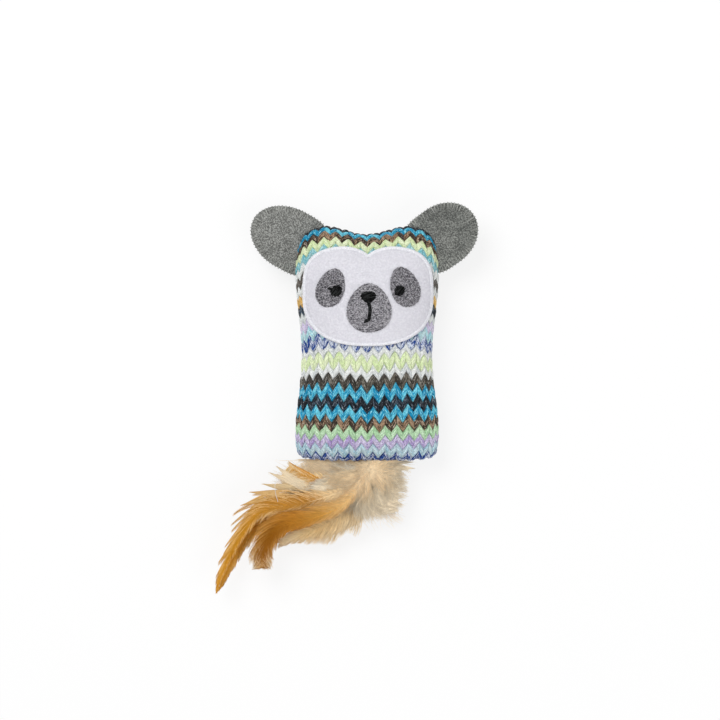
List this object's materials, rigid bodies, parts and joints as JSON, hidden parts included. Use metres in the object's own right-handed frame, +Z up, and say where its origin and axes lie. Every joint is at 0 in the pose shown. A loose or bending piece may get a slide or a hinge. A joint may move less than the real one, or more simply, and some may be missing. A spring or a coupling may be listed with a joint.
{
  "type": "stuffed cat toy",
  "caption": "Stuffed animal cat toy with a striped knitted pillow body, an embroidered plush face, felt ears and a feather tail.",
  "frame": {"origin": "centre of the flat patch of the back that the toy rests on, lying on its back", "axes": "+X to the viewer's right, +Y towards the ears, +Z up out of the face"},
  "size_m": [0.1435, 0.2113, 0.0393],
  "materials": {
    "raffia": "knitted flat paper raffia in stripes of many colours, slightly shiny",
    "white_plush": "short-nap white plush",
    "white_border_thread": "white satin-stitched thread",
    "grey_embroidery": "mottled grey fill embroidery",
    "black_embroidery": "black satin-stitched thread",
    "grey_felt": "mottled grey felt",
    "grey_thread": "grey overcast thread",
    "fibre_fill": "white polyester fibre",
    "pouch_cotton": "plain cotton pouch filled with dried catnip",
    "sewing_thread": "white sewing thread",
    "cream_feather": "cream feather, downy at the root",
    "tan_feather": "tan feather, downy at the root",
    "golden_feather": "golden hackle feather",
    "brown_feather": "brown and ginger feather"
  },
  "bodies": {
    "stuffed_body": {"front_panel": "raffia", "back_panel": "raffia", "side_seam_thread": "sewing_thread", "catnip_pouch": "pouch_cotton", "fibre_stuffing": "fibre_fill", "face_patch_border": "white_border_thread", "face_patch": "white_plush", "left_eye_patch": "grey_embroidery", "right_eye_patch": "grey_embroidery", "muzzle_patch": "grey_embroidery", "left_pupil": "black_embroidery", "right_pupil": "black_embroidery", "nose": "black_embroidery", "mouth_line": "black_embroidery", "tail_loop": "sewing_thread"},
    "left_ear": {"left_ear_front_felt": "grey_felt", "left_ear_back_felt": "grey_felt", "left_ear_edge_stitch": "grey_thread"},
    "right_ear": {"right_ear_front_felt": "grey_felt", "right_ear_back_felt": "grey_felt", "right_ear_edge_stitch": "grey_thread"},
    "feather_tail": {"quill_binding": "sewing_thread"},
    "brown_feather": {"brown_feather": "brown_feather"},
    "outer_hackle": {"outer_hackle": "golden_feather"},
    "middle_feather": {"middle_feather": "cream_feather"},
    "upper_feather": {"upper_feather": "golden_feather"},
    "edge_feather": {"edge_feather": "cream_feather"},
    "right_feather": {"right_feather": "cream_feather"},
    "inner_hackle": {"inner_hackle": "golden_feather"},
    "lower_feather": {"lower_feather": "tan_feather"}
  },
  "joints": [
    {"name": "left_ear_fold", "type": "hinge", "parent": "stuffed_body", "child": "left_ear", "pos_m": [-0.0374, 0.05414, 0.0175], "axis": [0.5312, 0.8473, 0], "range_deg": [-70, 70], "stiffness_Nm_per_rad": 0.005},
    {"name": "right_ear_fold", "type": "hinge", "parent": "stuffed_body", "child": "right_ear", "pos_m": [0.0374, 0.05414, 0.0175], "axis": [0.5312, -0.8473, 0], "range_deg": [-70, 70], "stiffness_Nm_per_rad": 0.005},
    {"name": "tail_swing", "type": "hinge", "parent": "stuffed_body", "child": "feather_tail", "pos_m": [0.002, -0.068, 0.0175], "axis": [-1, 0, 0], "range_deg": [-75, 75], "stiffness_Nm_per_rad": 0.01},
    {"name": "brown_feather_fan", "type": "hinge", "parent": "feather_tail", "child": "brown_feather", "pos_m": [0.002, -0.068, 0.0175], "axis": [0, 0, 1], "range_deg": [-12, 12], "stiffness_Nm_per_rad": 0.0003},
    {"name": "outer_hackle_fan", "type": "hinge", "parent": "feather_tail", "child": "outer_hackle", "pos_m": [0.002, -0.068, 0.0175], "axis": [0, 0, 1], "range_deg": [-10, 12], "stiffness_Nm_per_rad": 0.0003},
    {"name": "middle_feather_fan", "type": "hinge", "parent": "feather_tail", "child": "middle_feather", "pos_m": [0.002, -0.068, 0.0175], "axis": [0, 0, 1], "range_deg": [-10, 12], "stiffness_Nm_per_rad": 0.0003},
    {"name": "upper_feather_fan", "type": "hinge", "parent": "feather_tail", "child": "upper_feather", "pos_m": [0.002, -0.068, 0.0175], "axis": [0, 0, 1], "range_deg": [-2, 14], "stiffness_Nm_per_rad": 0.0003},
    {"name": "edge_feather_fan", "type": "hinge", "parent": "feather_tail", "child": "edge_feather", "pos_m": [0.002, -0.068, 0.0175], "axis": [0, 0, 1], "range_deg": [-3, 14], "stiffness_Nm_per_rad": 0.0003},
    {"name": "right_feather_fan", "type": "hinge", "parent": "feather_tail", "child": "right_feather", "pos_m": [0.002, -0.068, 0.0175], "axis": [0, 0, 1], "range_deg": [-14, 2], "stiffness_Nm_per_rad": 0.0003},
    {"name": "inner_hackle_fan", "type": "hinge", "parent": "feather_tail", "child": "inner_hackle", "pos_m": [0.002, -0.068, 0.0175], "axis": [0, 0, 1], "range_deg": [-12, 12], "stiffness_Nm_per_rad": 0.0003},
    {"name": "lower_feather_fan", "type": "hinge", "parent": "feather_tail", "child": "lower_feather", "pos_m": [0.002, -0.068, 0.0175], "axis": [0, 0, 1], "range_deg": [-12, 12], "stiffness_Nm_per_rad": 0.0003}
  ]
}
